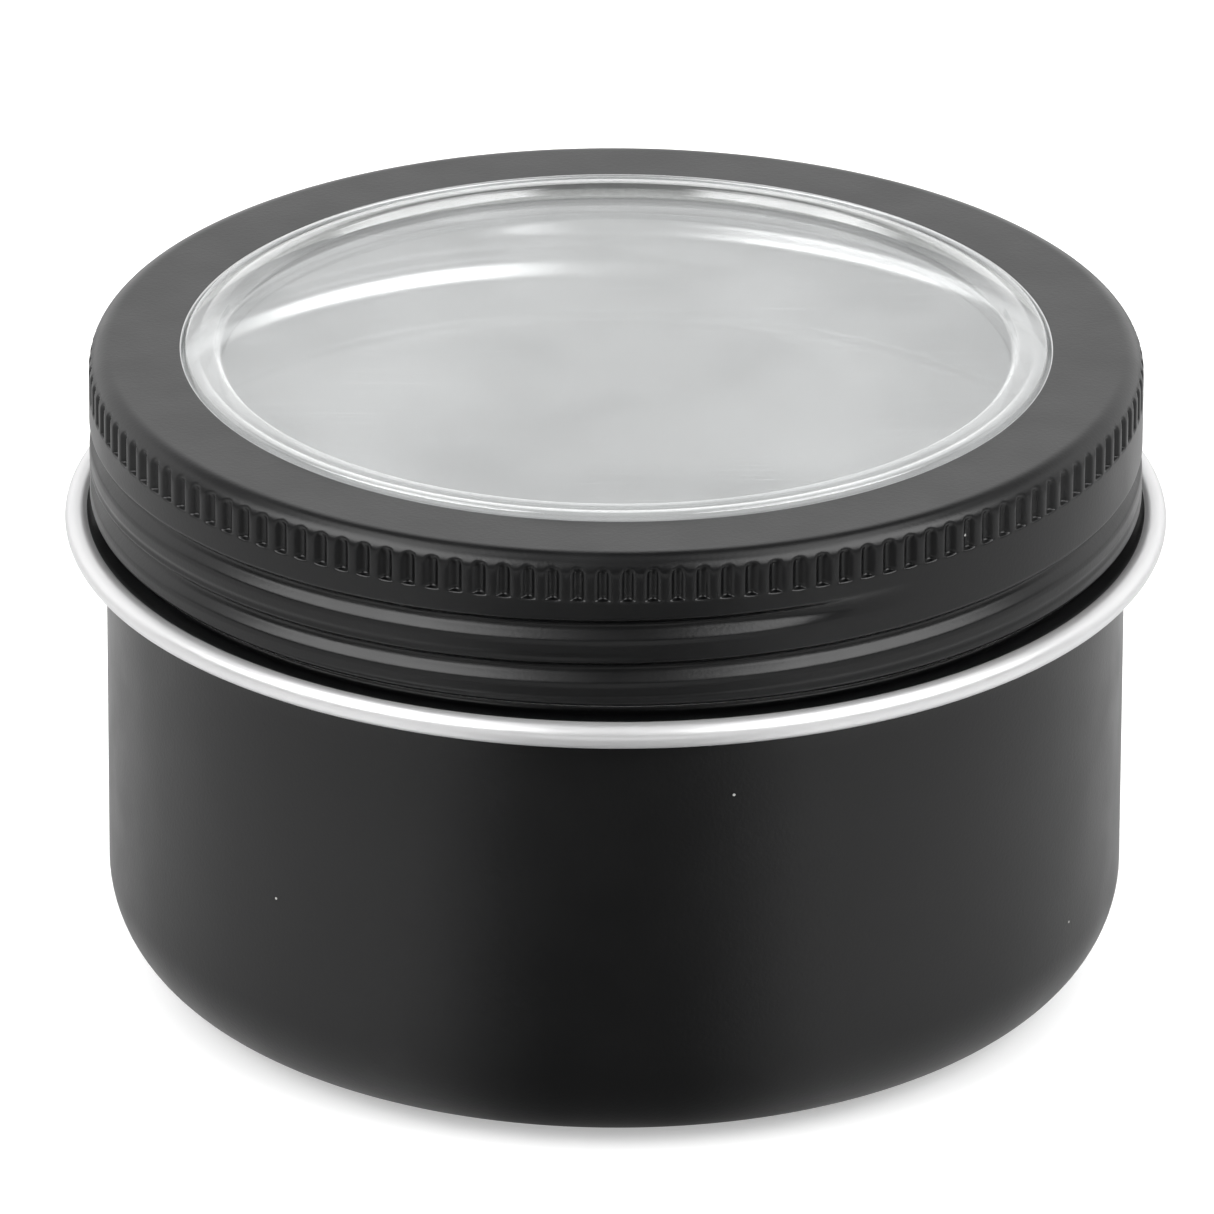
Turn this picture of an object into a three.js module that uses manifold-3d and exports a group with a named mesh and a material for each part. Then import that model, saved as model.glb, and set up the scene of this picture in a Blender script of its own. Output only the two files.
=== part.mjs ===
// Screw-top candle tin: a drawn aluminium tin with a rolled bead and a threaded neck, a knurled screw lid
// round a clear window, and the flat seal ring between them.
// Millimetres, +Z up, origin at the centre of the base, front at -Y.
import * as THREE from "three";
import { mergeVertices } from "three/addons/utils/BufferGeometryUtils.js";
import Module from "manifold-3d";

const wasm = await Module();
wasm.setup();

// ---- Overall sizes ----
const overallHeight = 50; // base to the top of the window's raised rim
const wallRadius = 38.4; // outside of the tin's straight wall
const sheet = 0.4; // aluminium sheet of the tin and of the lid

// ---- Tin ----
const cornerRadius = 8; // outside, between the wall and the base
const baseRecess = 0.6; // height of the pressed-in panel under the tin
const restWidth = 3.4; // flat ring that the tin stands on
const recessSlope = 1; // run of the step between that ring and the panel
const neckStep = 0.4; // the neck is this much smaller in radius than the wall
const rimRound = 0.6; // radius of the curled rim of the mouth
const rimCurlEnd = 240; // degrees from +r, where the curl meets the neck's inner wall
const beadRound = 0.975; // radius of the rolled bead's section
const beadProud = 1.9; // how far the bead stands out past the lid's skirt
const flareHeight = 2.6; // the wall widens under the bead over this height
const flareOut = 0.35;
const neckFillet = 0.5; // between the bead's flat top and the neck

// ---- Lid ----
const ringWidth = 6.95; // black ring of the lid's top, skirt to window opening
const shoulderRadius = 1.2;
const skirtDepth = 11.85; // lid's top face to the skirt's lower edge
const edgeBreak = 0.15; // chamfer of the skirt's lower edge and of the window opening
const knurlCount = 136;
const knurlTopDepth = 0.35; // below the lid's top face
const knurlBottomDepth = 3.4;
const knurlDepth = 0.3;
const knurlBacking = 0.25; // the pressed knurl stands in by this much inside the lid

// ---- Thread, right-handed, one start, rolled into both sheets ----
const lead = 3.4;
const threadHeight = 0.7; // depth of a rolled groove
const grooveRound = 0.85; // radius of the groove's section
const lidThreadDepth = 5.7; // top face to the groove's middle, where it first passes the front
const lidThreadStart = THREE.MathUtils.degToRad(-55); // where the lid's groove starts, from +X
const lidThreadMargin = 1.35; // skirt's lower edge to the middle of the groove's last turn
const neckThreadMargin = 1.6; // bead's flat top to the middle of the neck thread's last turn
const runOut = THREE.MathUtils.degToRad(25); // each end of a thread fades over this angle

// ---- Window and seal ----
const windowProud = 0.4; // the window's rim stands this much above the lid's top face
const windowRimWidth = 2.4;
const windowPanelDrop = 0.7; // rim's top to the flat panel
const windowThickness = 0.8;
const sealThickness = 0.8;
const sealWidth = 4.8;

// ---- Clearances ----
const threadClearance = 0.45; // neck thread's crest to the inside of the skirt
const crestClearance = 0.5; // lid thread's crest to the neck's wall
const seatGap = 0.1; // between stacked faces
const openingGap = 0.3; // window's rim to its opening
const flangeGap = 0.2; // window's flange and the seal to the lid thread's crest
const skirtGap = 0.8; // skirt's lower edge to the bead's flat top

// ---- Facets ----
const turnFacets = 68;
const chordError = 0.06; // of the flats that stand for a round stretch of a profile
const tubeSides = 8;
const tubeStepsPerTurn = turnFacets / 2;

// ---- Levels, from the top down ----
const lidTop = overallHeight - windowProud;
const flangeTop = lidTop - sheet - seatGap;
const flangeBottom = flangeTop - windowThickness;
const sealTop = flangeBottom - seatGap;
const sealBottom = sealTop - sealThickness;
const rimTop = sealBottom - seatGap;
const skirtBottom = lidTop - skirtDepth;
const beadTop = skirtBottom - skirtGap;
const beadMiddle = beadTop - beadRound;
const beadBottom = beadMiddle - beadRound;

// ---- Radii, from the neck outwards ----
const neckOuter = wallRadius - neckStep;
const neckInner = neckOuter - sheet;
const lidCrest = neckOuter + crestClearance;
const lidInner = lidCrest + threadHeight;
const lidOuter = lidInner + sheet;
const neckCrest = lidInner - threadClearance;
const openingRadius = lidOuter - ringWidth;
const windowRadius = openingRadius - openingGap;
const flangeRadius = lidCrest - flangeGap;
const beadOuter = lidOuter + beadProud;
const beadCentre = beadOuter - beadRound;

// Points along a round stretch of a profile, both ends included, angles in degrees from +r towards +z.
function arc(r, z, radius, from, to) {
  const start = THREE.MathUtils.degToRad(from);
  const sweep = THREE.MathUtils.degToRad(to - from);
  const steps = Math.ceil(Math.abs(sweep) / (2 * Math.acos(1 - chordError / radius)));
  const points = [];
  for (let i = 0; i <= steps; i++) {
    const a = start + (sweep * i) / steps;
    points.push([r + radius * Math.cos(a), z + radius * Math.sin(a)]);
  }
  return points;
}

// A three.js geometry, with its seams merged, as a solid.
function solid(geometry) {
  geometry.deleteAttribute("normal");
  geometry.deleteAttribute("uv");
  const merged = mergeVertices(geometry, 1e-4);
  return new wasm.Manifold(
    new wasm.Mesh({
      numProp: 3,
      vertProperties: new Float32Array(merged.attributes.position.array),
      triVerts: new Uint32Array(merged.index.array),
    }),
  );
}

// A profile of [r, z] points turned about Z. It runs up the outside and back down the inside.
function turned(profile) {
  const points = profile.map(([r, z]) => new THREE.Vector2(r, z));
  const onAxis = profile[0][0] === 0;
  if (!onAxis) points.push(points[0].clone());
  const geometry = new THREE.LatheGeometry(points, turnFacets);
  geometry.rotateX(Math.PI / 2);
  return solid(geometry);
}

// The middle line of a rolled thread. It climbs anticlockwise, and at each end it moves off by `fade`.
class ThreadLine extends THREE.Curve {
  constructor(radius, height, from, to, fade) {
    super();
    Object.assign(this, { radius, height, from, to, fade });
  }
  getPoint(t, target = new THREE.Vector3()) {
    const angle = this.from + (this.to - this.from) * t;
    const fromEnd = Math.min(angle - this.from, this.to - angle);
    const share = 1 - Math.min(1, fromEnd / runOut);
    const r = this.radius + this.fade * share * share;
    return target.set(r * Math.cos(angle), r * Math.sin(angle), this.height(angle));
  }
}

// A round tube along a thread's middle line.
function tube(line, radius) {
  const section = new THREE.Shape();
  for (let i = 0; i < tubeSides; i++) {
    const a = (2 * Math.PI * i) / tubeSides;
    const [x, y] = [radius * Math.cos(a), radius * Math.sin(a)];
    if (i === 0) section.moveTo(x, y);
    else section.lineTo(x, y);
  }
  section.closePath();
  const turns = (line.to - line.from) / (2 * Math.PI);
  const steps = Math.ceil(turns * tubeStepsPerTurn);
  return solid(new THREE.ExtrudeGeometry(section, { steps, extrudePath: line }));
}

// Height of the middle of the lid's groove, and of the neck's ridge, which runs half a lead above it.
const front = -Math.PI / 2;
const lidThreadHeight = (angle) => lidTop - lidThreadDepth + (lead * (angle - front)) / (2 * Math.PI);
const neckThreadHeight = (angle) => lidThreadHeight(angle) + lead / 2;
const angleAt = (height, middle) => ((middle - height(0)) * 2 * Math.PI) / lead;

function tinBody() {
  const corner = wallRadius - cornerRadius;
  const restInner = corner - restWidth;
  const panel = restInner - recessSlope;
  const outside = [
    [0, baseRecess],
    [panel, baseRecess],
    [restInner, 0],
    ...arc(corner, cornerRadius, cornerRadius, -90, 0),
    [wallRadius, beadBottom - flareHeight],
    [wallRadius + flareOut, beadBottom],
    ...arc(beadCentre, beadMiddle, beadRound, -90, 0),
    ...arc(beadCentre, beadMiddle, beadRound, 0, 90).slice(1),
    ...arc(neckOuter + neckFillet, beadTop + neckFillet, neckFillet, -90, -180),
  ];
  const rim = [
    ...arc(neckOuter - rimRound, rimTop - rimRound, rimRound, 0, 90),
    ...arc(neckOuter - rimRound, rimTop - rimRound, rimRound, 90, rimCurlEnd).slice(1),
  ];
  const inside = [
    [neckInner, rimTop - 2 * rimRound],
    [neckInner, beadTop],
    [wallRadius - sheet, beadBottom],
    ...arc(corner, cornerRadius, cornerRadius - sheet, 0, -90),
    [restInner, sheet],
    [panel, baseRecess + sheet],
    [0, baseRecess + sheet],
  ];
  const plain = turned([...outside, ...rim, ...inside]);

  const ridgeRound = grooveRound + sheet;
  const middle = neckCrest - ridgeRound;
  const lowest = angleAt(neckThreadHeight, beadTop + neckThreadMargin);
  const highest = angleAt(neckThreadHeight, rimTop - 2 * rimRound - ridgeRound);
  const line = new ThreadLine(middle, neckThreadHeight, lowest, highest, -threadHeight - flangeGap);
  const core = turned([
    [0, beadMiddle],
    [neckInner + sheet / 2, beadMiddle],
    [neckInner + sheet / 2, rimTop],
    [0, rimTop],
  ]);
  return plain.add(tube(line, ridgeRound).subtract(core)).subtract(tube(line, grooveRound));
}

function lidShell() {
  const shoulder = lidOuter - shoulderRadius;
  const backing = lidInner - knurlBacking;
  const innerRound = shoulderRadius - sheet;
  const backingBottom = lidTop - knurlBottomDepth - sheet;
  const plain = turned([
    [openingRadius, lidTop - sheet],
    [openingRadius, lidTop - edgeBreak],
    [openingRadius + edgeBreak, lidTop],
    ...arc(shoulder, lidTop - shoulderRadius, shoulderRadius, 90, 0),
    [lidOuter, skirtBottom + edgeBreak],
    [lidOuter - edgeBreak, skirtBottom],
    [lidInner, skirtBottom],
    [lidInner, backingBottom - knurlBacking],
    [backing, backingBottom],
    ...arc(backing - innerRound, lidTop - shoulderRadius, innerRound, 0, 90),
  ].reverse());

  const middle = lidOuter - threadHeight + grooveRound;
  const lowest = angleAt(lidThreadHeight, skirtBottom + lidThreadMargin);
  const line = new ThreadLine(middle, lidThreadHeight, lowest, lidThreadStart, threadHeight + flangeGap);
  const bore = turned([
    [0, skirtBottom],
    [lidOuter - sheet / 2, skirtBottom],
    [lidOuter - sheet / 2, lidTop - sheet],
    [0, lidTop - sheet],
  ]);
  const ridge = tube(line, grooveRound + sheet).intersect(bore);
  const threaded = plain.add(ridge).subtract(tube(line, grooveRound));
  return threaded.subtract(knurlCuts());
}

// The V grooves of the knurl, as one cutter: upright square bars, each with one edge pointing inwards.
function knurlCuts() {
  const bar = 2 * knurlDepth;
  const height = knurlBottomDepth - knurlTopDepth;
  const cuts = [];
  for (let i = 0; i < knurlCount; i++) {
    const geometry = new THREE.CylinderGeometry(bar, bar, height, 4);
    geometry.rotateX(Math.PI / 2);
    geometry.translate(lidOuter - knurlDepth + bar, 0, lidTop - knurlTopDepth - height / 2);
    geometry.rotateZ((2 * Math.PI * (i + 0.5)) / knurlCount);
    cuts.push(solid(geometry));
  }
  return cuts.reduce((all, cut) => all.add(cut));
}

function windowDisc() {
  const panelTop = overallHeight - windowPanelDrop;
  const rimInner = windowRadius - windowRimWidth;
  const soft = windowPanelDrop / 2;
  return turned([
    [0, panelTop - windowThickness],
    [rimInner, panelTop - windowThickness],
    [rimInner + windowThickness, flangeBottom],
    [flangeRadius, flangeBottom],
    [flangeRadius, flangeTop],
    [windowRadius, flangeTop],
    ...arc(windowRadius - soft, overallHeight - soft, soft, 0, 90),
    [rimInner + soft, overallHeight],
    [rimInner, panelTop],
    [0, panelTop],
  ]);
}

function sealRing() {
  return turned([
    [flangeRadius - sealWidth, sealBottom],
    [flangeRadius, sealBottom],
    [flangeRadius, sealTop],
    [flangeRadius - sealWidth, sealTop],
  ]);
}

// A solid as a named three.js mesh in its own material.
function mesh(name, shape, material) {
  const { vertProperties, triVerts } = shape.getMesh();
  const geometry = new THREE.BufferGeometry();
  geometry.setAttribute("position", new THREE.BufferAttribute(vertProperties, 3));
  geometry.setIndex(new THREE.BufferAttribute(triVerts, 1));
  geometry.computeVertexNormals();
  const made = new THREE.Mesh(geometry, new THREE.MeshStandardMaterial(material));
  made.name = name;
  return made;
}

const blackLacquer = { color: 0x1b1c1e, roughness: 0.38, metalness: 0 };
const clearPlastic = { color: 0xf2f5f6, roughness: 0.06, metalness: 0, transparent: true, opacity: 0.35 };
const whiteFoam = { color: 0xe9e9e6, roughness: 0.8, metalness: 0 };

const lid = new THREE.Group();
lid.add(mesh("lid_shell", lidShell(), blackLacquer));
lid.add(mesh("window_disc", windowDisc(), clearPlastic));

const tin = new THREE.Group();
tin.add(mesh("tin_body", tinBody(), blackLacquer));
tin.add(mesh("seal_ring", sealRing(), whiteFoam));
tin.add(lid);

export default tin;
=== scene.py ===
"""Screw-top candle tin: black lacquered aluminium tin and lid, bare rolled bead, clear raised window.

Lengths are in millimetres up to `build()`, which turns them into metres. Those in the materials are in
metres. +Z up, front at -Y.
"""

import math

import bpy
import numpy as np
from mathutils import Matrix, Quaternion, Vector


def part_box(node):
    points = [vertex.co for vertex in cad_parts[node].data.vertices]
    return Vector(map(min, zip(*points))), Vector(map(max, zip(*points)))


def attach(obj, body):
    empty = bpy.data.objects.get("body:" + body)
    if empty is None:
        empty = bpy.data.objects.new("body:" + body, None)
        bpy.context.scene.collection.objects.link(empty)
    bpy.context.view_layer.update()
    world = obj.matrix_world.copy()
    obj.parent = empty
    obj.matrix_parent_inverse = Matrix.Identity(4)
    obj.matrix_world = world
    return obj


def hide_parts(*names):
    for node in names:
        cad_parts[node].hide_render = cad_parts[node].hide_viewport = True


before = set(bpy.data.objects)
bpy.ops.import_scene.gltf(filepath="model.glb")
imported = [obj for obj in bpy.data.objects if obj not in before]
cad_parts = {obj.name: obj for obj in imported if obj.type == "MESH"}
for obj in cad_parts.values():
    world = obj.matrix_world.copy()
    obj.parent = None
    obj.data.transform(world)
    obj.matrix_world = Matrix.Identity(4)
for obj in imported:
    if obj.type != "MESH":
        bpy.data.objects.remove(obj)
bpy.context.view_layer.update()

MM = 0.001


def millimetres(node):
    lo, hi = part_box(node)
    return np.array(lo) / MM, np.array(hi) / MM


_, tin_hi = millimetres("tin_body")
lid_lo, lid_hi = millimetres("lid_shell")
window_lo, window_hi = millimetres("window_disc")
seal_lo, seal_hi = millimetres("seal_ring")

SHEET = 0.4  # aluminium of the tin and of the lid

# ---- Lid ----
LID_R = lid_hi[0]
LID_TOP = lid_hi[2]
SKIRT_BOTTOM = lid_lo[2]
RING_WIDTH = 6.95
OPENING_R = LID_R - RING_WIDTH
OPENING_EDGE = 0.1
SHOULDER = 1.6
SKIRT_CURL = 0.45  # round of the skirt's lower edge
SKIRT_CURL_END = -62  # degrees
BACKING = 0.25  # the pressed knurl stands in by this much inside the lid

# ---- Knurl; depths below the lid's top face ----
KNURLS = 136
KNURL_DEPTH = 0.42  # how far a groove is pressed in
KNURL_START = (0.55, 1.25)  # the grooves fade in over these depths
KNURL_END = 3.42
KNURL_END_SOFT = 0.14
GROOVE_AT = (0, 0.1, 0.19, 0.27, 0.34)  # from a groove's middle, as a share of the pitch
GROOVE_IN = (1, 0.93, 0.6, 0.14, 0)  # how deep it is there
PAD_CROWN = 0.03  # the pads between the grooves are this much rounded
FINE = (-0.5, -0.42, -0.34, -0.27, -0.19, -0.1, 0, 0.1, 0.19, 0.27, 0.34, 0.42)  # mesh columns of a pitch
COARSE_EVERY = 4  # the rest of the lid has one column for this many

# ---- Thread, right-handed; angles in degrees from +X ----
LEAD = 3.4
THREAD_DEPTH = 5.7  # lid's top face to the thread's middle at the front
THREAD_START = -55.0
THREAD_END = THREAD_START - 543.0
RUN_OUT = 25.0
THREAD_S = (-0.95, -0.82, -0.66, -0.45, -0.18, 0.15, 0.48, 0.78, 1.15)  # below the thread's middle
THREAD_D = (0.0, 0.03, 0.3, 0.6, 0.69, 0.56, 0.28, 0.06, 0.0)  # how far it stands in there
FOLD_S = (1.85, 2.05, 2.2, 2.45)  # a faint crease between two turns
FOLD_D = (0.0, 0.06, 0.06, 0.0)
FOLD_START = -84.0
FOLD_FADE = 20.0

# ---- Tin ----
WALL_R = 38.4
CORNER = 8.0
RECESS = 0.6  # height of the pressed-in panel under the tin
RECESS_SLOPE = 1.0
REST_WIDTH = 3.4  # flat ring that the tin stands on
BEAD_TUBE = 0.975
BEAD_GAP = 0.8  # lid's skirt to the bead
BEAD_R = tin_hi[0] - BEAD_TUBE
BEAD_Z = SKIRT_BOTTOM - BEAD_GAP - BEAD_TUBE
BARE_FROM, BARE_TO = -125, 135  # the bead is bare metal between these angles of its section
FLARE_HEIGHT = 2.6
FLARE = (  # the wall widens under the bead: height, and how far out
    (0.0, 0.0), (0.9, 0.03), (1.6, 0.1), (2.1, 0.2), (2.45, 0.36), (2.62, 0.62), (2.66, 0.95)
)
NECK_IN = 0.4  # the neck stands in from the wall
NECK_R = WALL_R - NECK_IN
NECK_FILLET = 0.5
NECK_STEP = (  # inside, the neck widens to the wall: how far out, and how far back up
    (0.0, 0.0), (-0.3, 0.06), (-0.6, 0.2), (-0.9, 0.34), (-1.3, 0.4)
)
RIM_TOP = tin_hi[2]
RIM_TUBE = 0.6
RIM_CURL_END = 215  # degrees
CREST_GAP = 0.45  # neck thread's crest to the lid
RIDGE_TUBE = 1.25
RIDGE_R = LID_R - SHEET - CREST_GAP - RIDGE_TUBE  # middle of the neck's ridge
GUTTER_HALF = 1.6  # half the width of the same thread seen from inside
RIDGE_LOW = -648.0  # its two ends, in degrees
RIDGE_HIGH = -243.0
FLOOR_RINGS = (6, 14, 21)  # mesh rings of the tin's flat floor

# ---- Window and seal ----
WINDOW_TOP = window_hi[2]
WINDOW_GAP = 0.3
WINDOW_R = OPENING_R - WINDOW_GAP
FLANGE_R = window_hi[0]
FLANGE_LOW = window_lo[2]
FLANGE_THICK = 0.8
FLANGE_TOP = FLANGE_LOW + FLANGE_THICK
FLANGE_EDGE = 0.1
RIM_WIDTH = 2.4
RIM_ROUND = 0.3
RIM_LAND = 0.9  # outer land of the rim; a narrow groove and the inner land follow
RIM_GROOVE = 0.12  # depth of that groove
PANEL_DROP = 0.7
PANEL_THICK = 0.8
SEAL_WIDTH = 4.8
SEAL_ROUND = 0.12


# ---------------------------------------------------------------- mesh code


def arc(r, z, radius, start, end, steps):
    """[r, z] points on a round stretch of a profile, both ends included, in degrees."""
    a = np.radians(np.linspace(start, end, steps + 1))
    return np.stack([r + radius * np.cos(a), z + radius * np.sin(a)], 1)


def line(a, b, steps):
    """[r, z] points from a to b, without b."""
    t = np.linspace(0, 1, steps + 1)[:-1, None]
    return np.array(a, float) * (1 - t) + np.array(b, float) * t


def smooth(low, high, value):
    """Rises softly from 0 at low to 1 at high."""
    t = np.clip((value - low) / (high - low), 0, 1)
    return t * t * (3 - 2 * t)


def helix_heights(azimuths, low, high, height):
    """Height of a thread's middle, and how full it is, for each turn that passes each azimuth."""
    for turn in range(-3, 2):
        a = azimuths + 360.0 * turn
        inside = smooth(low, low + RUN_OUT, a) * (1 - smooth(high - RUN_OUT, high, a))
        if inside.max() > 0:
            yield height(a), inside, a


def thread_height(a):
    return LID_TOP - THREAD_DEPTH + LEAD * (a + 90.0) / 360.0


def ridge_height(a):
    return thread_height(a) + LEAD / 2


class Shell:
    """A closed body of rings about Z. A ring is a radius and a height for each column of the mesh.

    The rings run out along the underside, up the outside and back in over the top.
    With flip they run the other way. "along" is the length of the profile up to each ring.
    """

    def __init__(self, flip=False):
        self.flip = flip
        self.verts, self.faces, self.slots, self.along = [], [], [], []
        self.count = 0
        self.last = None
        self.first = None
        self.length = 0.0
        self.mean = None

    def ring(self, r, z, azimuths, slot):
        azimuths = np.asarray(azimuths, float)
        r = np.broadcast_to(r, azimuths.shape)
        z = np.broadcast_to(z, azimuths.shape)
        mean = np.array([r.mean(), z.mean()])
        if self.mean is not None:
            self.length += float(np.hypot(*(mean - self.mean)))
        self.mean = mean
        a = np.radians(azimuths)
        self.verts.append(np.stack([r * np.cos(a), r * np.sin(a), z], 1))
        self.along += [self.length] * len(azimuths)
        ids = np.arange(self.count, self.count + len(azimuths))
        self.count += len(azimuths)
        if self.last is not None:
            self.join(self.last, ids, slot)
        else:
            self.first = ids
        self.last = ids

    def pole(self, z, slot):
        """A point on the axis, which starts or ends the body."""
        self.verts.append(np.array([[0.0, 0.0, z]]))
        if self.mean is not None:
            self.length += float(np.hypot(self.mean[0], z - self.mean[1]))
        self.mean = np.array([0.0, z])
        self.along.append(self.length)
        ids = np.array([self.count])
        self.count += 1
        if self.last is not None:
            self.join(self.last, ids, slot)
        self.last = ids

    def close(self, slot):
        self.join(self.last, self.first, slot)

    def join(self, a, b, slot):
        """Faces between two rings. A ring with more columns than the next is joined to it by fans."""
        n, m = len(a), len(b)
        if n == 1 or m == 1:
            ring, tip = (b, a[0]) if n == 1 else (a, b[0])
            for i in range(len(ring)):
                j = (i + 1) % len(ring)
                face = (tip, ring[j], ring[i]) if n == 1 else (ring[i], ring[j], tip)
                self.face(face, slot)
        elif n == m:
            for i in range(n):
                j = (i + 1) % n
                self.face((a[i], a[j], b[j], b[i]), slot)
        else:
            fine, coarse = (a, b) if n > m else (b, a)
            step = len(fine) // len(coarse)
            for i in range(len(coarse)):
                c0, c1 = coarse[i], coarse[(i + 1) % len(coarse)]
                f = [fine[(i * step + k) % len(fine)] for k in range(step + 1)]
                half = step // 2
                fan = [(c0, f[k], f[k + 1]) for k in range(half)]
                fan += [(c0, f[half], c1)]
                fan += [(c1, f[k], f[k + 1]) for k in range(half, step)]
                for face in fan:
                    self.face(face if n > m else tuple(reversed(face)), slot)

    def face(self, ids, slot):
        ids = tuple(int(i) for i in ids)
        self.faces.append(ids[::-1] if self.flip else ids)
        self.slots.append(slot)

    def build(self, name, materials):
        mesh = bpy.data.meshes.new(name)
        verts = np.concatenate(self.verts) * MM
        mesh.from_pydata(verts.tolist(), [], self.faces)
        for material in materials:
            mesh.materials.append(material)
        mesh.polygons.foreach_set("material_index", self.slots)
        mesh.polygons.foreach_set("use_smooth", [True] * len(self.faces))
        layer = mesh.attributes.new("along", "FLOAT", "POINT")
        layer.data.foreach_set("value", np.array(self.along, np.float32))
        mesh.validate()
        mesh.update()
        thing = bpy.data.objects.new(name, mesh)
        bpy.context.scene.collection.objects.link(thing)
        return thing


def even(count):
    """Azimuths in degrees, evenly spaced."""
    return np.arange(count) * 360.0 / count - 180.0


# ---------------------------------------------------------------- shader helpers


def node(tree, kind, values=None, **settings):
    made = tree.nodes.new(kind)
    for key, value in settings.items():
        setattr(made, key, value)
    for key, value in (values or {}).items():
        if isinstance(value, bpy.types.NodeSocket):
            tree.links.new(value, made.inputs[key])
        else:
            made.inputs[key].default_value = value
    return made


def maths(tree, operation, *values):
    made = node(tree, "ShaderNodeMath", dict(enumerate(values)), operation=operation)
    return made.outputs[0]


def remap(tree, value, low, high, to_low, to_high):
    values = {0: value, 1: low, 2: high, 3: to_low, 4: to_high}
    made = node(tree, "ShaderNodeMapRange", values, interpolation_type="SMOOTHSTEP")
    return made.outputs[0]


def blend_colour(tree, share, a, b):
    values = {0: share, 6: a, 7: b}
    return node(tree, "ShaderNodeMix", values, data_type="RGBA").outputs[2]


def noise(tree, vector, scale, detail=3.0, roughness=0.5):
    values = {"Vector": vector, "Scale": scale, "Detail": detail, "Roughness": roughness}
    return node(tree, "ShaderNodeTexNoise", values).outputs["Fac"]


def new_material(name):
    material = bpy.data.materials.new(name)
    material.use_nodes = True
    tree = material.node_tree
    tree.nodes.clear()
    out = node(tree, "ShaderNodeOutputMaterial")
    shader = node(tree, "ShaderNodeBsdfPrincipled")
    tree.links.new(shader.outputs[0], out.inputs["Surface"])
    place = node(tree, "ShaderNodeTexCoord").outputs["Object"]
    return material, tree, shader, place


def specks(tree, place, cell, size, share):
    """Sparse round dots: 1 on a dot, 0 elsewhere."""
    values = {"Vector": place, "Scale": 1 / cell}
    cells = node(tree, "ShaderNodeTexVoronoi", values)
    near = maths(tree, "LESS_THAN", cells.outputs["Distance"], size / cell)
    pick = node(tree, "ShaderNodeSeparateColor", {0: cells.outputs["Color"]}).outputs[0]
    return maths(tree, "MULTIPLY", near, maths(tree, "LESS_THAN", pick, share))


def scratches(tree, place, length, width, turn):
    """Sparse hairlines, all one way: 1 on a line, 0 elsewhere."""
    values = {"Vector": place, "Rotation": (0, 0, turn), "Scale": (1 / length, 1 / width, 1 / length)}
    bent = node(tree, "ShaderNodeMapping", values).outputs[0]
    return remap(tree, noise(tree, bent, 1.0, 1.0, 0.3), 0.69, 0.76, 0.0, 1.0)


def around(tree, place, grain, wobble):
    """Coordinates of marks that run round the object: fast change along the profile, slow round it."""
    flat = node(tree, "ShaderNodeVectorMath", {0: place, 1: (1, 1, 0)}, operation="MULTIPLY")
    unit = node(tree, "ShaderNodeVectorMath", {0: flat.outputs[0]}, operation="NORMALIZE")
    slow = node(tree, "ShaderNodeVectorMath", {0: unit.outputs[0], "Scale": wobble}, operation="SCALE")
    parts = node(tree, "ShaderNodeSeparateXYZ", {0: slow.outputs[0]})
    along = node(tree, "ShaderNodeAttribute", attribute_name="along").outputs["Fac"]
    values = {0: parts.outputs[0], 1: parts.outputs[1], 2: maths(tree, "MULTIPLY", along, grain)}
    return node(tree, "ShaderNodeCombineXYZ", values).outputs[0]


def bump(tree, height, distance, strength, under=None):
    values = {"Height": height, "Distance": distance, "Strength": strength}
    if under is not None:
        values["Normal"] = under
    return node(tree, "ShaderNodeBump", values).outputs[0]


def black_lacquer():
    """Satin black with dust, orange peel and faint lines that run round."""
    material, tree, shader, place = new_material("black_lacquer")
    cloud = noise(tree, place, 90.0, 4.0)
    black = blend_colour(tree, cloud, (0.0010, 0.0010, 0.0012, 1), (0.0024, 0.0025, 0.0027, 1))
    dust = specks(tree, place, 0.0042, 0.00011, 0.2)
    tree.links.new(blend_colour(tree, dust, black, (0.32, 0.32, 0.31, 1)), shader.inputs["Base Color"])
    rough = remap(tree, noise(tree, place, 160.0, 5.0), 0.3, 0.7, 0.28, 0.335)
    rough = maths(tree, "ADD", rough, maths(tree, "MULTIPLY", dust, 0.4))
    tree.links.new(rough, shader.inputs["Roughness"])
    shader.inputs["IOR"].default_value = 1.45
    peel = bump(tree, noise(tree, place, 3600.0, 2.0), 0.00001, 0.9)
    drawn = noise(tree, around(tree, place, 2.2, 1.2), 1.0, 3.0, 0.6)
    tree.links.new(bump(tree, drawn, 0.00001, 0.1, peel), shader.inputs["Normal"])
    return material


def bare_aluminium(name, tone, metal_share, low, high, grain, marks):
    """Satin metal, low to high in roughness. Its marks run round: grain is how fine, marks how deep."""
    material, tree, shader, place = new_material(name)
    cloud = noise(tree, place, 120.0, 4.0)
    bright = tone * 1.08
    metal = blend_colour(tree, cloud, (tone, tone, tone * 1.01, 1), (bright, bright, bright, 1))
    tree.links.new(metal, shader.inputs["Base Color"])
    shader.inputs["Metallic"].default_value = metal_share
    brushed = noise(tree, around(tree, place, grain, 14.0), 1.0, 4.0, 0.65)
    tree.links.new(remap(tree, brushed, 0.25, 0.75, low, high), shader.inputs["Roughness"])
    fine = bump(tree, brushed, 0.00002, marks)
    nicks = scratches(tree, place, 0.003, 0.00015, 0.7)
    tree.links.new(bump(tree, nicks, 0.000006, 0.4 * marks, fine), shader.inputs["Normal"])
    return material


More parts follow.
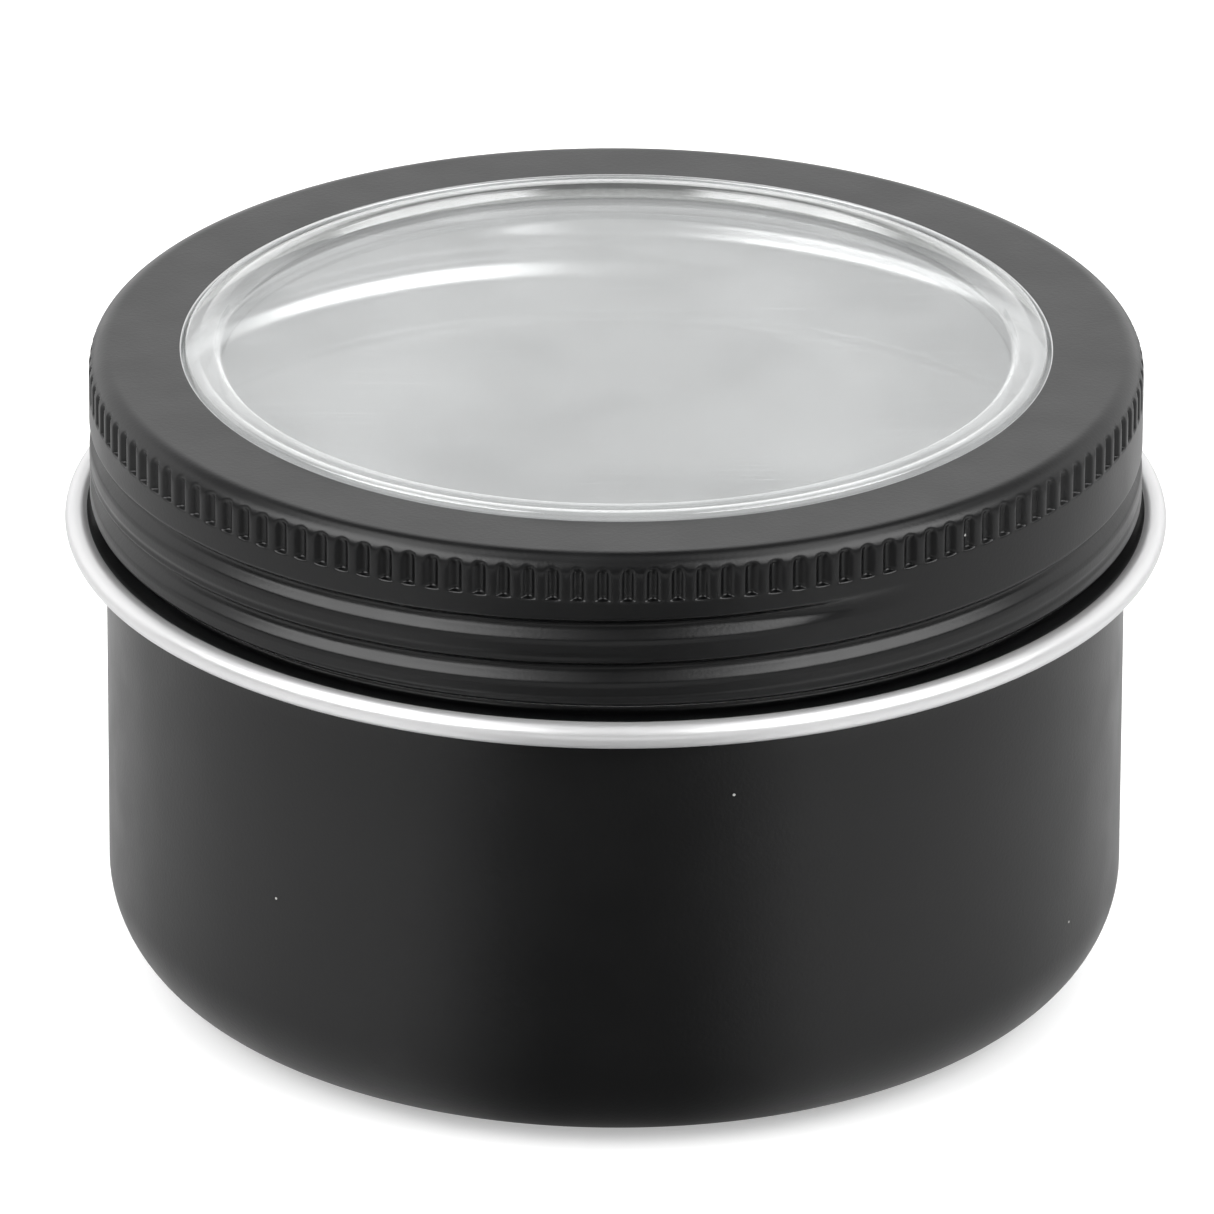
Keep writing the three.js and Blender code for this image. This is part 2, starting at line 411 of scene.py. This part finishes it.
def clear_plastic(name, mirror_part, milk_low, milk_high, gloss):
    """Clear sheet: see-through, with a slight haze and a gloss that is partly like metal's."""
    material, tree, body, place = new_material(name)
    rubbed = scratches(tree, place, 0.011, 0.00016, 0.9)
    wiped = scratches(tree, place, 0.016, 0.00022, -0.35)
    marks = maths(tree, "MAXIMUM", rubbed, wiped)
    cloud = noise(tree, place, 70.0, 3.0)
    body.inputs["Base Color"].default_value = (0.92, 0.93, 0.93, 1)
    body.inputs["Metallic"].default_value = mirror_part
    rough = remap(tree, noise(tree, place, 240.0, 4.0), 0.3, 0.8, 0.05, 0.14)
    tree.links.new(rough, body.inputs["Roughness"])
    wave = bump(tree, noise(tree, place, 45.0, 1.0), 0.00003, 0.03)
    tree.links.new(wave, body.inputs["Normal"])
    clear = node(tree, "ShaderNodeBsdfTransparent", {"Color": (0.985, 0.99, 0.99, 1)})
    # Schlick's curve, which is the same from both sides of a sheet.
    facing = node(tree, "ShaderNodeLayerWeight", {"Blend": 0.5, "Normal": wave}).outputs["Facing"]
    mirror = maths(tree, "MULTIPLY_ADD", maths(tree, "POWER", facing, 5.0), 0.96, 0.04)
    haze = remap(tree, cloud, 0.3, 0.7, milk_low, milk_high)
    haze = maths(tree, "ADD", haze, maths(tree, "MULTIPLY", marks, 0.07))
    share = maths(tree, "MINIMUM", maths(tree, "ADD", maths(tree, "MULTIPLY", mirror, gloss), haze), 1.0)
    both = node(tree, "ShaderNodeMixShader", {0: share, 1: clear.outputs[0], 2: body.outputs[0]})
    tree.links.new(both.outputs[0], tree.nodes["Material Output"].inputs["Surface"])
    return material


def white_foam():
    """The seal's fine-celled foam."""
    material, tree, shader, place = new_material("white_foam")
    cells = node(tree, "ShaderNodeTexVoronoi", {"Vector": place, "Scale": 2600.0}).outputs["Distance"]
    tone = blend_colour(tree, cells, (0.72, 0.72, 0.7, 1), (0.86, 0.86, 0.84, 1))
    tree.links.new(tone, shader.inputs["Base Color"])
    tree.links.new(remap(tree, cells, 0.0, 0.6, 0.7, 0.9), shader.inputs["Roughness"])
    tree.links.new(bump(tree, cells, 0.00006, 0.5), shader.inputs["Normal"])
    return material


lacquer = black_lacquer()
bead_metal = bare_aluminium("bead_aluminium", 0.66, 0.7, 0.3, 0.4, 9.0, 0.35)
inner_metal = bare_aluminium("inner_aluminium", 0.62, 0.85, 0.3, 0.36, 1.2, 0.02)
panel_plastic = clear_plastic("clear_panel", 1.0, 0.0, 0.03, 0.8)
rim_plastic = clear_plastic("clear_rim", 0.65, 0.07, 0.14, 1.6)
foam = white_foam()


# ---------------------------------------------------------------- tin


def make_tin():
    shell = Shell()
    az = even(288)
    corner = WALL_R - CORNER
    rest_inner = corner - REST_WIDTH
    panel = rest_inner - RECESS_SLOPE
    bead_low = BEAD_Z - BEAD_TUBE
    bead_top = BEAD_Z + BEAD_TUBE

    def run(points, slot, shape=None):
        for r, z in points:
            rr = np.full(len(az), r)
            if shape:
                rr = shape(rr, z)
            shell.ring(rr, z, az, slot)

    def ridge(rr, z):
        for height, full, _ in helix_heights(az, RIDGE_LOW, RIDGE_HIGH, ridge_height):
            reach = np.sqrt(np.clip(RIDGE_TUBE**2 - (z - height) ** 2, 0, None))
            rr = np.maximum(rr, NECK_R + (RIDGE_R + reach - NECK_R) * full)
        return rr

    def gutter(rr, z):
        """The ridge's other side, as a soft wave."""
        depth = RIDGE_R + RIDGE_TUBE - SHEET - (NECK_R - SHEET)
        for height, full, _ in helix_heights(az, RIDGE_LOW, RIDGE_HIGH, ridge_height):
            part = np.clip(np.abs(z - height) / GUTTER_HALF, 0, 1)
            rr = np.maximum(rr, NECK_R - SHEET + depth * full * (0.5 + 0.5 * np.cos(math.pi * part)))
        return rr

    shell.pole(RECESS, 0)
    run([[r, RECESS] for r in FLOOR_RINGS], 0)
    run(line([panel - 0.3, RECESS], [panel, RECESS - 0.04], 2), 0)
    run(line([panel, RECESS - 0.04], [rest_inner, 0.05], 4), 0)
    run([[rest_inner, 0.05], [rest_inner + 0.25, 0.0], [corner - 0.6, 0.0]], 0)
    run(arc(corner, CORNER, CORNER, -90, 0, 26), 0)
    flare_foot = bead_low - FLARE_HEIGHT
    run(line([WALL_R, CORNER + 1.0], [WALL_R, flare_foot], 9), 0)
    run([[WALL_R + out, flare_foot + up] for up, out in FLARE], 0)
    run(arc(BEAD_R, BEAD_Z, BEAD_TUBE, BARE_FROM, BARE_TO, 40), 1)
    shelf = BEAD_Z + BEAD_TUBE * math.sin(math.radians(BARE_TO)) - 0.04
    run([[BEAD_R - 1.1, shelf], [NECK_R + 0.9, shelf]], 0)
    run(arc(NECK_R + NECK_FILLET, shelf + NECK_FILLET, NECK_FILLET, -90, -180, 6), 0)
    neck_top = RIM_TOP - RIM_TUBE
    run(line([NECK_R, bead_top + 0.6], [NECK_R, neck_top - 0.1], 44), 2, ridge)
    curl = arc(NECK_R - RIM_TUBE, neck_top, RIM_TUBE, 0, RIM_CURL_END, 18)
    run(curl, 2)
    inner = NECK_R - SHEET
    run(line([inner, neck_top - 0.55], [inner, bead_top - 0.2], 44), 2, gutter)
    run(line([inner, bead_top - 0.2], [inner, bead_top - 0.7], 3), 2)
    run([[inner + out, bead_top - 0.7 + up] for up, out in NECK_STEP], 2)
    run(line([WALL_R - SHEET, bead_top - 2.6], [WALL_R - SHEET, CORNER], 8), 2)
    run(arc(corner, CORNER, CORNER - SHEET, 0, -90, 24), 2)
    run(line([corner - 0.6, SHEET], [rest_inner + 0.25, SHEET], 2), 2)
    run(line([rest_inner, SHEET + 0.05], [panel, RECESS + SHEET], 4), 2)
    run([[r, RECESS + SHEET] for r in (panel - 0.4, *reversed(FLOOR_RINGS))], 2)
    shell.pole(RECESS + SHEET, 2)
    return shell.build("tin_drawn_body", [lacquer, bead_metal, inner_metal])


# ---------------------------------------------------------------- lid


def make_lid():
    shell = Shell(flip=True)
    pitch = 360.0 / KNURLS
    share = np.tile(np.array(FINE), KNURLS)
    fine = (np.repeat(np.arange(KNURLS), len(FINE)) + 0.5) * pitch + share * pitch - 180.0
    coarse = fine[::COARSE_EVERY]

    pressed = np.interp(np.abs(share), GROOVE_AT, GROOVE_IN)

    def knurled(r, depth):
        fade = smooth(*KNURL_START, depth) * (1 - smooth(KNURL_END - KNURL_END_SOFT, KNURL_END, depth))
        pad = PAD_CROWN * np.clip((0.5 - np.abs(share)) / (0.5 - GROOVE_AT[-1]), 0, 1) ** 2
        cut = LID_R - (KNURL_DEPTH * pressed + pad) * fade
        return np.minimum(np.full(len(fine), r), cut)

    def threaded(depth, az):
        stands_in = np.zeros(len(az))
        z = LID_TOP - depth
        for height, full, a in helix_heights(az, THREAD_END, THREAD_START, thread_height):
            below = height - z
            stands_in = np.maximum(stands_in, np.interp(below, THREAD_S, THREAD_D) * full)
            crease = np.interp(below, FOLD_S, FOLD_D) * full
            crease *= 1 - smooth(FOLD_START - FOLD_FADE, FOLD_START, a)
            stands_in = np.maximum(stands_in, crease)
        return stands_in

    ring = shell.ring
    # The opening's edge and the flat top.
    for r, z in arc(OPENING_R + OPENING_EDGE, LID_TOP - OPENING_EDGE, OPENING_EDGE, 180, 90, 4):
        ring(r, z, coarse, 1)
    for r in (OPENING_R + 0.3, OPENING_R + 2.2, OPENING_R + 4.0, LID_R - SHOULDER - 0.5):
        ring(r, LID_TOP, coarse, 0)
    # The shoulder and the knurl.
    shoulder = LID_R - SHOULDER
    ring(shoulder - 0.15, LID_TOP, fine, 0)
    for r, z in arc(shoulder, LID_TOP - SHOULDER, SHOULDER, 90, 0, 14):
        ring(knurled(r, LID_TOP - z), z, fine, 0)
    run_out = np.linspace(KNURL_END - KNURL_END_SOFT, KNURL_END, 4)
    for depth in (1.85, 2.15, 2.45, 2.75, 3.0, *run_out, 3.55):
        ring(knurled(LID_R, depth), LID_TOP - depth, fine, 0)
    # The skirt with its rolled thread, down to the lower edge.
    skirt = LID_TOP - SKIRT_BOTTOM
    depths = np.concatenate([[3.9, 4.1, 4.3], np.linspace(4.45, skirt - SKIRT_CURL - 0.05, 66)])
    for depth in depths:
        ring(LID_R - threaded(depth, coarse), LID_TOP - depth, coarse, 0)
    for r, z in arc(LID_R - SKIRT_CURL, SKIRT_BOTTOM + SKIRT_CURL, SKIRT_CURL, 0, SKIRT_CURL_END, 6):
        ring(r, z, coarse, 0)
    lip = LID_R - SKIRT_CURL + SKIRT_CURL * math.cos(math.radians(SKIRT_CURL_END))
    # The cut edge, then the inside, back up to the opening.
    ring(lip - 0.03, SKIRT_BOTTOM, coarse, 1)
    ring(LID_R - SHEET + 0.02, SKIRT_BOTTOM, coarse, 1)
    for depth in depths[::-2]:
        ring(LID_R - SHEET - threaded(depth, coarse), LID_TOP - depth, coarse, 1)
    backing = LID_R - SHEET - BACKING
    for depth in (3.7, 3.5, 3.3):
        ring(backing + BACKING * smooth(3.3, 3.8, depth), LID_TOP - depth, coarse, 1)
    inner_round = SHOULDER - SHEET
    for r, z in arc(backing - inner_round, LID_TOP - SHOULDER, inner_round, 0, 90, 8):
        ring(r, z, coarse, 1)
    ring(OPENING_R + 3.0, LID_TOP - SHEET, coarse, 1)
    ring(OPENING_R + 0.04, LID_TOP - SHEET, coarse, 1)
    ring(OPENING_R, LID_TOP - SHEET + 0.04, coarse, 1)
    shell.close(1)
    return shell.build("lid_pressed_shell", [lacquer, inner_metal])


# ---------------------------------------------------------------- window and seal


def make_window():
    shell = Shell()
    az = even(288)
    panel = WINDOW_TOP - PANEL_DROP
    rim_inner = WINDOW_R - RIM_WIDTH
    under = panel - PANEL_THICK
    shell.pole(under, 0)
    below = [[8, under], [16, under], [24, under], [rim_inner - 1.2, under], [rim_inner, under]]
    below += [[rim_inner + 0.4, under - 0.05], [rim_inner + 0.8, FLANGE_LOW], [rim_inner + 2.0, FLANGE_LOW]]
    below += [[FLANGE_R - FLANGE_EDGE, FLANGE_LOW], [FLANGE_R, FLANGE_LOW + FLANGE_EDGE]]
    below += [[FLANGE_R, FLANGE_TOP - FLANGE_EDGE], [FLANGE_R - FLANGE_EDGE, FLANGE_TOP]]
    below += [[WINDOW_R + 2.0, FLANGE_TOP], [WINDOW_R + 0.15, FLANGE_TOP]]
    land = WINDOW_R - RIM_LAND
    dip = WINDOW_TOP - RIM_GROOVE
    above = [[WINDOW_R, FLANGE_TOP + 0.15]]
    above += arc(WINDOW_R - RIM_ROUND, WINDOW_TOP - RIM_ROUND, RIM_ROUND, 0, 90, 7).tolist()
    above += [[land + 0.12, WINDOW_TOP - 0.01], [land, dip], [land - 0.1, dip]]
    above += [[land - 0.22, WINDOW_TOP - 0.02]]
    above += arc(rim_inner + 0.5, WINDOW_TOP - 0.45, 0.43, 90, 160, 7).tolist()
    above += arc(rim_inner - 0.3, panel + 0.24, 0.24, -20, -90, 5).tolist()
    for r, z in below + above:
        shell.ring(r, z, az, 1)
    for r in (rim_inner - 1.4, 24, 16, 8):
        shell.ring(r, panel, az, 0)
    shell.pole(panel, 0)
    return shell.build("window_clear_disc", [panel_plastic, rim_plastic])


def make_seal():
    shell = Shell()
    az = even(240)
    outer = seal_hi[0]
    inner = outer - SEAL_WIDTH
    low, high = seal_lo[2], seal_hi[2]
    profile = np.concatenate([
        arc(inner + SEAL_ROUND, low + SEAL_ROUND, SEAL_ROUND, 180, 270, 3),
        line([inner + 1.2, low], [outer - 0.6, low], 4),
        arc(outer - SEAL_ROUND, low + SEAL_ROUND, SEAL_ROUND, -90, 0, 3),
        arc(outer - SEAL_ROUND, high - SEAL_ROUND, SEAL_ROUND, 0, 90, 3),
        line([outer - 0.6, high], [inner + 0.6, high], 4),
        arc(inner + SEAL_ROUND, high - SEAL_ROUND, SEAL_ROUND, 90, 180, 3),
    ])
    for r, z in profile:
        shell.ring(r, z, az, 0)
    shell.close(0)
    return shell.build("seal_flat_ring", [foam])


for maker, body, replaced, slot in (
    (make_tin, "tin", "tin_body", "tin"),
    (make_lid, "lid", "lid_shell", "lid"),
    (make_window, "lid", "window_disc", "window"),
    (make_seal, "seal", "seal_ring", "seal"),
):
    piece = maker()
    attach(piece, body)
    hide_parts(replaced)


# ---------------------------------------------------------------- floor, light, camera


def plane(name, corners, z):
    """A flat sheet of the staging."""
    mesh = bpy.data.meshes.new(name)
    mesh.from_pydata([(x * MM, y * MM, z * MM) for x, y in corners], [], [range(len(corners))])
    thing = bpy.data.objects.new(name, mesh)
    bpy.context.scene.collection.objects.link(thing)
    return thing


def plain(name, tone, glow):
    """An even matt grey that glows a little."""
    material, _, shader, _ = new_material(name)
    shader.inputs["Base Color"].default_value = (tone, tone, tone, 1)
    shader.inputs["Emission Color"].default_value = (1, 1, 1, 1)
    shader.inputs["Emission Strength"].default_value = glow
    shader.inputs["Roughness"].default_value = 1.0
    shader.inputs["Specular IOR Level"].default_value = 0.0
    return material


def square(half):
    return [(-half, -half), (half, -half), (half, half), (-half, half)]


# Flat sheets round the tin: half widths and heights.
FLOOR_HALF, FLOOR_Z = 30000.0, -0.02
DIMMER_HALF, DIMMER_Z = 1500.0, 0.15
DARK_REFLECTION_Z = 0.3

floor = plane("floor", square(FLOOR_HALF), FLOOR_Z)
floor.data.materials.append(plain("floor_white", 0.72, 0.4))

# A dark sheet lies in front of the tin and shows only in reflections. It is a painted dark reflection: with
# its faint glow it paints shade into the lacquer where that reflects the floor in front.
DARK_REFLECTION_NEAR, DARK_REFLECTION_FAR, DARK_REFLECTION_APEX = 30.0, 170.0, 12.0
near = DARK_REFLECTION_NEAR - DARK_REFLECTION_APEX
far = DARK_REFLECTION_FAR - DARK_REFLECTION_APEX
painted_dark_reflection = plane("painted_dark_reflection", [(-near, -DARK_REFLECTION_NEAR), (-far, -DARK_REFLECTION_FAR), (far, -DARK_REFLECTION_FAR), (near, -DARK_REFLECTION_NEAR)], DARK_REFLECTION_Z)


def painted_dark_reflection_material():
    """Painted dark reflection: a faint grey glow in the middle, clear towards both sides."""
    material, tree, _, place = new_material("dark_reflection_paint")
    tree.nodes.remove(tree.nodes["Principled BSDF"])
    x, y, _ = node(tree, "ShaderNodeSeparateXYZ", {0: place}).outputs
    reach = maths(tree, "SUBTRACT", maths(tree, "MULTIPLY", y, -1.0), DARK_REFLECTION_APEX * MM)
    share = maths(tree, "DIVIDE", maths(tree, "ABSOLUTE", x), reach)
    open_part = remap(tree, share, 0.16, 0.92, 0.0, 1.0)
    # The painted dark reflection's faint glow.
    painted_dark_glow = node(tree, "ShaderNodeEmission", {"Color": (1, 1, 1, 1), "Strength": 0.16})
    clear = node(tree, "ShaderNodeBsdfTransparent")
    both = node(tree, "ShaderNodeMixShader", {0: open_part, 1: painted_dark_glow.outputs[0], 2: clear.outputs[0]})
    tree.links.new(both.outputs[0], tree.nodes["Material Output"].inputs["Surface"])
    return material


painted_dark_reflection.data.materials.append(painted_dark_reflection_material())

# A thin grey sheet over the whole floor. It too shows only in reflections, where it paints shade: the
# lacquer reflects a darker floor than the camera sees.
painted_reflection_dimmer = plane("painted_reflection_dimmer", square(DIMMER_HALF), DIMMER_Z)


def painted_reflection_dimmer_material():
    """Painted shade in reflections: a see-through grey, lighter close to the tin than further off."""
    material, tree, _, place = new_material("reflection_shade_grey")
    tree.nodes.remove(tree.nodes["Principled BSDF"])
    reach = node(tree, "ShaderNodeVectorMath", {0: place}, operation="LENGTH").outputs["Value"]
    tone = remap(tree, reach, 0.08, 0.15, 0.54, 0.4)
    tint = node(tree, "ShaderNodeBsdfTransparent")
    tree.links.new(tone, tint.inputs["Color"])
    tree.links.new(tint.outputs[0], tree.nodes["Material Output"].inputs["Surface"])
    return material


painted_reflection_dimmer.data.materials.append(painted_reflection_dimmer_material())
# Both sheets of painted reflection are hidden from the camera, from diffuse light and from shadows.
for sheet in (painted_dark_reflection, painted_reflection_dimmer):
    sheet.visible_camera = False
    sheet.visible_diffuse = False
    sheet.visible_shadow = False
    sheet.visible_transmission = False


def make_world():
    """A white studio: bright and dark areas of the sky, by direction. Angles are in degrees."""
    world = bpy.data.worlds.new("studio")
    bpy.context.scene.world = world
    world.use_nodes = True
    tree = world.node_tree
    tree.nodes.clear()
    way = node(tree, "ShaderNodeTexCoord").outputs["Generated"]
    x, y, z = node(tree, "ShaderNodeSeparateXYZ", {0: way}).outputs
    height = maths(tree, "DEGREES", maths(tree, "ARCSINE", z))
    side = maths(tree, "DEGREES", maths(tree, "ARCTAN2", x, maths(tree, "MULTIPLY", y, -1.0)))
    turn = maths(tree, "ABSOLUTE", side)

    def band(value, low, high, soft):
        rise = remap(tree, value, low - soft, low + soft, 0.0, 1.0)
        fall = remap(tree, value, high - soft, high + soft, 1.0, 0.0)
        return maths(tree, "MULTIPLY", rise, fall)

    def patch(strength, turns, heights):
        """turns go from the front to both sides. Each range is low, high and how soft its edges are."""
        share = maths(tree, "MULTIPLY", band(turn, *turns), band(height, *heights))
        return maths(tree, "MULTIPLY", share, strength)

    patches = [
        patch(5.0, (26, 92, 6), (24, 57, 5)),  # two side softboxes
        patch(3.0, (60, 140, 9), (57, 76, 6)),  # their upper parts
        patch(1.2, (104, 400, 14), (-90, 39, 7)),  # backdrop
        patch(0.2, (-10, 400, 1), (70, 200, 14)),  # overhead
        patch(0.35, (-10, 50, 6), (-4, 7, 3)),  # horizon in front
    ]
    total = 0.05  # the rest of the sky
    for value in patches:
        total = maths(tree, "ADD", value, total)
    shade = node(tree, "ShaderNodeBackground", {"Color": (1, 1, 1, 1), "Strength": total})
    out = node(tree, "ShaderNodeOutputWorld")
    tree.links.new(shade.outputs[0], out.inputs["Surface"])


make_world()

FILL_ENERGY = 1.2
FILL_SPREAD = 120  # degrees
FILL_TILT = -8
lamp = bpy.data.lights.new("fill", "SUN")
lamp.energy = FILL_ENERGY
lamp.angle = math.radians(FILL_SPREAD)
fill = bpy.data.objects.new("fill", lamp)
fill.rotation_euler = (math.radians(FILL_TILT), 0, 0)
fill.visible_glossy = False
bpy.context.scene.collection.objects.link(fill)

# The camera that was fitted to the photo. It looks down at about 24 degrees. Places are in metres.
EYE = Vector((0.0, -1.0992, 0.5236))
AIM = Vector((-0.00063, -0.00062, 0.02827))
ROLL = 0.212  # degrees
FOCAL_LENGTH, SENSOR = 473.07084, 36.0  # millimetres
lens = bpy.data.cameras.new("camera")
lens.sensor_width = SENSOR
lens.lens = FOCAL_LENGTH
lens.clip_start, lens.clip_end = 0.05, 100.0
camera = bpy.data.objects.new("camera", lens)
camera.location = EYE
camera.rotation_mode = "QUATERNION"
roll = Quaternion((0, 0, 1), math.radians(ROLL))
camera.rotation_quaternion = (AIM - EYE).to_track_quat("-Z", "Y") @ roll
bpy.context.scene.collection.objects.link(camera)
bpy.context.scene.camera = camera

bpy.context.scene.view_settings.view_transform = "Standard"
